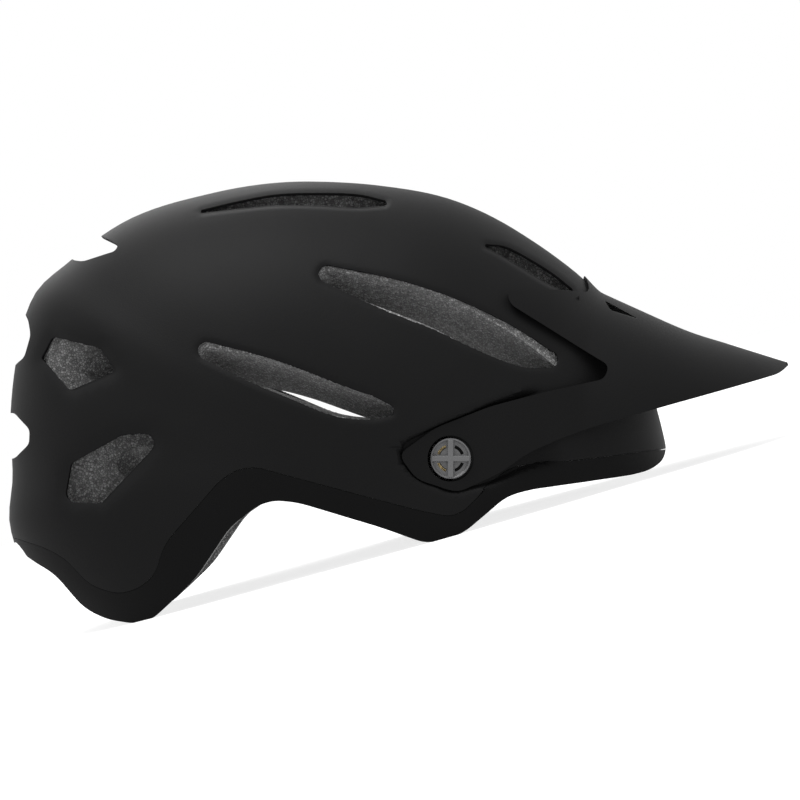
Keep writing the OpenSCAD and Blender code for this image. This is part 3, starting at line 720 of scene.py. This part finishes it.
def build_foam():
    """Foam liner with its channels, wells, ducts and the space for the head."""
    body = moulded_skin(1.3, 200, 110, (8,))
    cutters = opening_cutters() + [head_solid(), prism(HEM_BELOW, -THROUGH, THROUGH)]
    for chain, y_face, y_in, drift in ((VENT_TEMPLE, 88, 50, -0.62), (VENT_MIDDLE, 101, 62, -0.52)):
        outline = chain_outline([(x, z, r + 0.6) for x, z, r in chain])
        channel = prism(outline, y_in, THROUGH, (0, drift), y_face)
        cutters += [mirrored(channel), channel]
    for chain, y_in, start, end, r in (
        (VENT_CROWN, 30, (-18, 36, 152), (-18, 30, 118), 6),
        (VENT_FRONT, 32, (74, 40, 98), (52, 30, 80), 5),
        (VENT_UPPER_REAR, 52, (-122, 58, 113), (-92, 40, 98), 7),
        (VENT_LOWER_REAR, 60, (-116, 66, 66), (-90, 44, 60), 7),
    ):
        outline = wrapped_outline(chain, 0.6) if chain in (VENT_UPPER_REAR, VENT_LOWER_REAR) else \
            chain_outline([(x, z, c + 0.6) for x, z, c in chain])
        well = prism(outline, y_in, THROUGH)
        way = duct(start, end, r)
        cutters += [mirrored(well), mirrored(way), well, way]
    cutters += [box_mm((-175, -22, 85), (-105, 22, 97), 3), box_mm((-112, -20, 120), (-96, 20, 154), 3)]
    for side in (-1, 1):
        ends = sorted((side * 80, side * THROUGH))
        cutters.append(pin_mm(PIVOT, SCREW_HOLE, *ends))
    foam = combine(body, cutters)
    obj = make_piece("foam_liner_moulding", foam, MATERIALS["foam"], "helmet", ["foam_liner"],
                     sharp=math.radians(38))
    modify(obj, "WEIGHTED_NORMAL", keep_sharp=True)


VISOR_CREST = [(-10, 150), (60, 118), (96, 87.5), (115, 71.5), (134, 56), (150, 45.5), (171, 32), (176, 29)]
VISOR_HALF = [(-10, 90), (60, 87), (80, 84), (100, 80), (120, 73), (140, 62), (155, 48), (163, 37),
              (168, 26), (171, 16), (173, 4)]
VISOR_BASE = 12.0
VISOR_OUTLINE = [(-2.5, 39), (15, 45.5), (40, 48), (66, 47.5), (90, 46), (93.5, 51), (60, 87), (60, 92.5),
                 (82, 88), (96, 83), (98, 100), (190, 60), (190, 33), (172.5, 29.5), (166, 27.5), (112, 28),
                 (80, 28), (65, 27), (50, 25), (36, 20), (17, 17), (2, 27)]
VISOR_FLAT = 2.2


def visor_points(x, a):
    """Points of the visor's top face at stations x and angles a over its base line."""
    c, s = np.cos(a), np.sin(a)
    w = np.maximum(0.5, np.array([cubic_through(VISOR_HALF, v) for v in x]))
    h = np.maximum(0.5, np.array([cubic_through(VISOR_CREST, v) for v in x]) - VISOR_BASE)
    arch = ((np.abs(c) / w) ** VISOR_FLAT + (np.abs(s) / h) ** VISOR_FLAT) ** (-1 / VISOR_FLAT)
    low, high = np.zeros(len(x)), np.full(len(x), 170.0)
    for _ in range(22):
        mid = (low + high) / 2
        within = surface_half_width(x, VISOR_BASE + mid * s) > np.abs(mid * c)
        low, high = np.where(within, mid, low), np.where(within, high, mid)
    stand = 5.2 * ease((x - 24) / 36) - 0.1
    near = low + stand
    # Blends the arch into the part that follows the shell without a crease
    gap = near - arch
    r = np.where(np.abs(gap) < 3, (near + arch) / 2 + gap * gap / 12 + 0.75, np.maximum(near, arch))
    return np.stack([x, r * c, VISOR_BASE + r * s], axis=1)


def build_visor():
    """Visor: one thick sheet cut to its outline, with windows and screw holes."""
    stations, fan = 150, 150
    bm = bmesh.new()
    bmesh.ops.create_grid(bm, x_segments=stations, y_segments=fan, size=1)
    co = np.array([v.co[:] for v in bm.verts])
    x = -8 + (co[:, 0] + 1) / 2 * 180.8
    angle = (co[:, 1] + 1) / 2 * math.pi
    for v, p in zip(bm.verts, visor_points(x, angle) * MM):
        v.co = p
    bmesh.ops.recalc_face_normals(bm, faces=bm.faces)
    if sum(f.normal.z * f.calc_area() for f in bm.faces) < 0:
        bmesh.ops.reverse_faces(bm, faces=bm.faces)
    sheet = scratch(bm)
    modify(sheet, "SOLIDIFY", thickness=bpy.context.scene.helmet.visor_thickness, offset=-1.0)
    graph = bpy.context.evaluated_depsgraph_get()
    mesh = bpy.data.meshes.new_from_object(sheet.evaluated_get(graph))
    body = bmesh.new()
    body.from_mesh(mesh)
    bpy.data.meshes.remove(mesh)
    drop(sheet)
    outline = prism(rounded(VISOR_OUTLINE, 4), -THROUGH, THROUGH)
    body = combine(body, [outline], "INTERSECT")
    slot = prism(rounded([(101, 78.5), (102, 73.5), (112.5, 67)], 1.2), 8, 70)
    head_holes = [pin_mm(PIVOT, 9.6, 99.4, THROUGH), pin_mm(PIVOT, 9.6, -THROUGH, -99.4)]
    body = combine(body, [slot, mirrored(slot), *head_holes])
    obj = make_piece("visor_moulding", body, MATERIALS["visor"], "visor", ["visor"], sharp=math.radians(40))
    bevel(obj, 0.45 * MM, 2)
    modify(obj, "WEIGHTED_NORMAL", keep_sharp=True)


def finger_screw(side):
    """Finger screw of the visor: a rimmed head with crossed ribs and curved slots, on a plain shaft."""
    bm = bmesh.new()
    profile = [(0, 100.6), (7.2, 100.6), (7.6, 100.9), (7.7, 101.8), (8.0, 102.1), (8.3, 102.0),
               (8.5, 101.6), (8.5, 99.6), (2.5, 99.6), (2.5, 82.4), (2.1, 82), (0, 82)]
    verts = [bm.verts.new((r, y, 0)) for r, y in profile]
    edges = [bm.edges.new(pair) for pair in zip(verts, verts[1:])]
    bmesh.ops.spin(bm, geom=verts + edges, cent=(0, 0, 0), axis=(0, 1, 0), angle=math.tau,
                   steps=72, use_merge=True)
    bmesh.ops.remove_doubles(bm, verts=bm.verts, dist=0.001)
    bmesh.ops.translate(bm, vec=(PIVOT[0], 0, PIVOT[1]), verts=bm.verts)
    bmesh.ops.scale(bm, vec=(MM, MM, MM), verts=bm.verts)
    bmesh.ops.recalc_face_normals(bm, faces=bm.faces)
    x, z = PIVOT
    ribs = [box_mm((x - 7.9, 100.2, z - 1.2), (x + 7.9, 102.2, z + 1.2), 0.35),
            box_mm((x - 1.2, 100.2, z - 7.9), (x + 1.2, 102.25, z + 7.9), 0.35)]
    for rib in ribs:
        spin = Matrix.Rotation(CAMERA_LEAN, 3, "Y")
        bmesh.ops.rotate(rib, cent=(x * MM, 0, z * MM), matrix=spin, verts=rib.verts)
    bm = combine(bm, ribs, "UNION")
    slots = []
    for quarter in range(4):
        turns = np.radians(np.linspace(quarter * 90 + 4.4, quarter * 90 + 54.4, 12))
        rim = [(x + 5.9 * math.cos(a), z + 5.9 * math.sin(a)) for a in turns]
        rim += [(x + 4.6 * math.cos(a), z + 4.6 * math.sin(a)) for a in turns[::-1]]
        slots.append(prism(rim, 99, 104))
    bm = combine(bm, slots)
    if side == "right":
        flipped = mirrored(bm)
        bm.free()
        bm = flipped
    node = "visor_screw_" + side
    obj = make_piece(node + "_turned", bm, MATERIALS["satin"], "screw_" + side, [node],
                     sharp=math.radians(35))
    bevel(obj, 0.15 * MM, 2)
    modify(obj, "WEIGHTED_NORMAL", keep_sharp=True)


PAD_BODY = {"brow_pad": "helmet", "crown_pad": "helmet",
            "side_pad_left": "helmet", "side_pad_right": "helmet",
            "rear_pad_left": "helmet", "rear_pad_right": "helmet",
            "cradle_pad_left": "cradle", "cradle_pad_right": "cradle"}


def soft_pad(node, body):
    """Comfort pad: the node's solid remeshed, blown up as cloth and capped, so that its sides crown."""
    bm = bmesh.new()
    bm.from_mesh(frame["nodes"][node].data)
    bmesh.ops.remove_doubles(bm, verts=bm.verts, dist=1e-5)
    source = scratch(bm)
    modify(source, "REMESH", mode="VOXEL", voxel_size=1.8 * MM)
    modify(source, "SMOOTH", factor=0.5, iterations=8)
    graph = bpy.context.evaluated_depsgraph_get()
    mesh = bpy.data.meshes.new_from_object(source.evaluated_get(graph))
    drop(source)
    cushion = bpy.data.objects.new(node + "_cushion", mesh)
    bpy.context.scene.collection.objects.link(cushion)
    blow_up(cushion)
    bm = bmesh.new()
    bm.from_mesh(cushion.data)
    drop(cushion)
    bmesh.ops.smooth_vert(bm, verts=bm.verts, factor=0.5, use_axis_x=True, use_axis_y=True, use_axis_z=True)
    bmesh.ops.recalc_face_normals(bm, faces=bm.faces)
    obj = make_piece(node + "_cover", bm, MATERIALS["pad"], body, [node], sharp=math.pi)
    modify(obj, "SUBSURF", levels=1, render_levels=1)


def blow_up(obj, cap=0.9 * MM):
    """Cloth under pressure for twenty frames, with each point's travel capped."""
    rest = np.array([v.co[:] for v in obj.data.vertices])
    cloth = obj.modifiers.new("cloth", "CLOTH")
    cloth.settings.use_pressure = True
    cloth.settings.uniform_pressure_force = 4
    cloth.settings.effector_weights.gravity = 0
    cloth.settings.quality = 5
    scene = bpy.context.scene
    for number in range(1, 21):
        scene.frame_set(number)
    graph = bpy.context.evaluated_depsgraph_get()
    moved = np.array([v.co[:] for v in obj.evaluated_get(graph).data.vertices])
    obj.modifiers.remove(cloth)
    scene.frame_set(1)
    step = moved - rest
    far = np.linalg.norm(step, axis=1)[:, None]
    step *= np.minimum(1, cap / np.maximum(far, 1e-9))
    for v, p in zip(obj.data.vertices, rest + step):
        v.co = p


# Strap routes on the left side, in millimetres, with the direction of their width
STRAPS = {
    "front_strap": ([(26, 64.4, 25), (20, 64.9, 29), (16, 65.6, 32.5), (12.5, 66.6, 35.5)], (0.64, 0, 0.77), 12),
    "rear_strap": ([(-73, 71, 57), (-56, 71.5, 55), (-38, 71.5, 52.5), (-22, 70.5, 50), (-11, 69, 48)],
                   (0.12, 0, 0.99), 12),
    "chin_strap": ([(0, 67.1, 59.8), (0, 63.5, 68), (0, 57, 83), (0, 47.5, 97), (0, 38, 106.5),
                    (0, 27.5, 112.5)],
                   (1, 0, 0), 15),
}


def strap(kind, side):
    """Webbing along a route: a fine grid laid on its curve, thickened, with its map in metres along it."""
    route, wide, width = STRAPS[kind]
    sign = 1 if side == "left" else -1
    points = np.array(route, float)
    far = np.concatenate([[0], np.cumsum(np.linalg.norm(np.diff(points, axis=0), axis=1))])
    rows, columns = max(12, int(far[-1] / 1.2)), 12
    bm = bmesh.new()
    bmesh.ops.create_grid(bm, x_segments=columns, y_segments=rows, size=1)
    uv = bm.loops.layers.uv.new("UVMap")
    tables = [[(f, p[k]) for f, p in zip(far, points)] for k in range(3)]
    wide = np.array(wide) / np.linalg.norm(wide)
    for v in bm.verts:
        u, along = v.co.x, (v.co.y + 1) / 2 * far[-1]
        for loop in v.link_loops:
            loop[uv].uv = ((u + 1) / 2, along * MM)
        centre = np.array([cubic_through(t, along) for t in tables])
        v.co = Vector(centre + wide * u * width / 2) * MM
        v.co.y *= sign
    bmesh.ops.recalc_face_normals(bm, faces=bm.faces)
    node = kind + "_" + side
    crosses = node == "chin_strap_left"
    body = None if crosses else "helmet"
    obj = make_piece(node + "_webbing", bm, MATERIALS["web"], body, [node], sharp=math.pi)
    modify(obj, "SOLIDIFY", thickness=1.4 * MM, offset=0.0)
    bevel(obj, 0.45 * MM, 3)
    if crosses:
        # The crossing strap rides on no body: its modifiers are applied and its place is baked into its mesh
        graph = bpy.context.evaluated_depsgraph_get()
        solid = bpy.data.meshes.new_from_object(obj.evaluated_get(graph))
        obj.modifiers.clear()
        obj.data = solid
        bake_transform(obj)
    return obj


def build_stage():
    """White world and floor, two soft lights and the camera."""
    world = bpy.data.worlds.new("studio")
    bpy.context.scene.world = world
    world.use_nodes = True
    world.node_tree.nodes["Background"].inputs[0].default_value = (1, 1, 1, 1)
    world.node_tree.nodes["Background"].inputs[1].default_value = 1.0
    bpy.context.scene.view_settings.view_transform = "Standard"
    bm = bmesh.new()
    bmesh.ops.create_grid(bm, x_segments=1, y_segments=1, size=6)
    floor = scratch(bm, "studio_floor")
    # The floor glows a little, which keeps it white and its shadow faint
    paint = Shader("pale_floor", Base_Color=(0.3, 0.3, 0.3, 1), Roughness=0.9,
                   Emission_Color=(1, 1, 1, 1), Emission_Strength=0.78)
    floor.data.materials.append(paint.material)
    for name, place, aim, size, power in (
        ("key", (-0.2, -0.5, 2.2), (0, 0, 0.08), 1.6, 85),
        ("back", (-0.4, 1.8, 1.4), (0, 0, 0.08), 1.4, 14),
    ):
        lamp = bpy.data.lights.new(name, "AREA")
        lamp.size = size
        lamp.energy = power
        obj = bpy.data.objects.new(name, lamp)
        obj.location = place
        obj.rotation_euler = (Vector(aim) - Vector(place)).to_track_quat("-Z", "Y").to_euler()
        bpy.context.scene.collection.objects.link(obj)
    cam = bpy.data.cameras.new("camera")
    cam.lens = 200
    cam.sensor_width = 36
    obj = bpy.data.objects.new("camera", cam)
    bpy.context.scene.collection.objects.link(obj)
    right = Vector((math.cos(CAMERA_LEAN), 0, -math.sin(CAMERA_LEAN)))
    up = Vector((math.sin(CAMERA_LEAN), 0, math.cos(CAMERA_LEAN)))
    back = Vector((0, -1, 0))
    turn = Matrix((right, up, back)).transposed().to_4x4()
    width = 0.352
    aim = Vector((0.00425, 0, 0.0607))
    obj.matrix_world = Matrix.Translation(aim + back * width * cam.lens / cam.sensor_width) @ turn
    cam.clip_end = 50
    bpy.context.scene.camera = obj


SLOT_FINISH = {"trim_black": "trim", "trim_grey": "satin", "insert_brass": "brass", "pinion_steel": "steel",
               "pad_fabric": "pad", "hook_fabric": "hook", "webbing": "web", "foam_grey": "foam",
               "shell_matte": "shell", "shell_lower": "lower", "visor_matte": "visor"}


def finish_fittings():
    """Gives every CAD node the material of its slot."""
    slots = {s["node"]: s["material_slot"] for s in frame["record"]["subparts"]}
    for name, obj in frame["nodes"].items():
        for place in obj.material_slots:
            place.material = MATERIALS[SLOT_FINISH[slots[name]]]


# ---------------------------------------------------------------- add-on

class HelmetSettings(bpy.types.PropertyGroup):
    """Sizes that a user would change."""
    shell_thickness: bpy.props.FloatProperty(
        name="Shell thickness", description="Thickness of the moulded shells", default=0.0012, unit="LENGTH")
    edge_round: bpy.props.FloatProperty(
        name="Edge rounding", description="Width of the rounding on shell edges", default=0.00035, unit="LENGTH")
    visor_thickness: bpy.props.FloatProperty(
        name="Visor thickness", description="Thickness of the visor's sheet", default=0.0022, unit="LENGTH")


class HelmetStage(bpy.types.Operator):
    """Adds the materials, floor, light and camera"""
    bl_idname = "helmet.stage"
    bl_label = "Stage"

    def execute(self, context):
        make_materials()
        build_stage()
        return {"FINISHED"}


class HelmetFittings(bpy.types.Operator):
    """Finishes the carried-over fittings"""
    bl_idname = "helmet.fittings"
    bl_label = "Fittings"

    def execute(self, context):
        finish_fittings()
        return {"FINISHED"}


class HelmetShells(bpy.types.Operator):
    """Moulds the upper and lower shells"""
    bl_idname = "helmet.shells"
    bl_label = "Shells"

    def execute(self, context):
        build_shells()
        return {"FINISHED"}


class HelmetFoam(bpy.types.Operator):
    """Moulds the bead foam liner"""
    bl_idname = "helmet.foam"
    bl_label = "Foam liner"

    def execute(self, context):
        build_foam()
        return {"FINISHED"}


class HelmetVisor(bpy.types.Operator):
    """Moulds the visor with its arms"""
    bl_idname = "helmet.visor"
    bl_label = "Visor"

    def execute(self, context):
        build_visor()
        return {"FINISHED"}


class HelmetScrews(bpy.types.Operator):
    """Turns the two finger screws of the visor"""
    bl_idname = "helmet.screws"
    bl_label = "Visor screws"

    def execute(self, context):
        for side in ("left", "right"):
            finger_screw(side)
        return {"FINISHED"}


class HelmetPads(bpy.types.Operator):
    """Blows up the comfort pads"""
    bl_idname = "helmet.pads"
    bl_label = "Pads"

    def execute(self, context):
        for node, body in PAD_BODY.items():
            soft_pad(node, body)
        return {"FINISHED"}


class HelmetStraps(bpy.types.Operator):
    """Lays the webbing straps"""
    bl_idname = "helmet.straps"
    bl_label = "Straps"

    def execute(self, context):
        for kind in STRAPS:
            for side in ("left", "right"):
                strap(kind, side)
        return {"FINISHED"}


BUILDERS = (HelmetStage, HelmetShells, HelmetFoam, HelmetVisor,
            HelmetScrews, HelmetPads, HelmetStraps, HelmetFittings)


class HelmetPanel(bpy.types.Panel):
    """Lists the helmet's sizes and pieces"""
    bl_idname = "VIEW3D_PT_helmet"
    bl_label = "Trail helmet"
    bl_space_type = "VIEW_3D"
    bl_region_type = "UI"
    bl_category = "Helmet"

    def draw(self, context):
        for name in HelmetSettings.__annotations__:
            self.layout.prop(context.scene.helmet, name)
        for builder in BUILDERS:
            self.layout.operator(builder.bl_idname)


CLASSES = (HelmetSettings, *BUILDERS, HelmetPanel)


def register():
    for cls in CLASSES:
        bpy.utils.register_class(cls)
    bpy.types.Scene.helmet = bpy.props.PointerProperty(type=HelmetSettings)


def unregister():
    del bpy.types.Scene.helmet
    for cls in reversed(CLASSES):
        bpy.utils.unregister_class(cls)


def main():
    register()
    for builder in BUILDERS:
        group, name = builder.bl_idname.split(".")
        getattr(getattr(bpy.ops, group), name)()


if __name__ == "__main__":
    main()
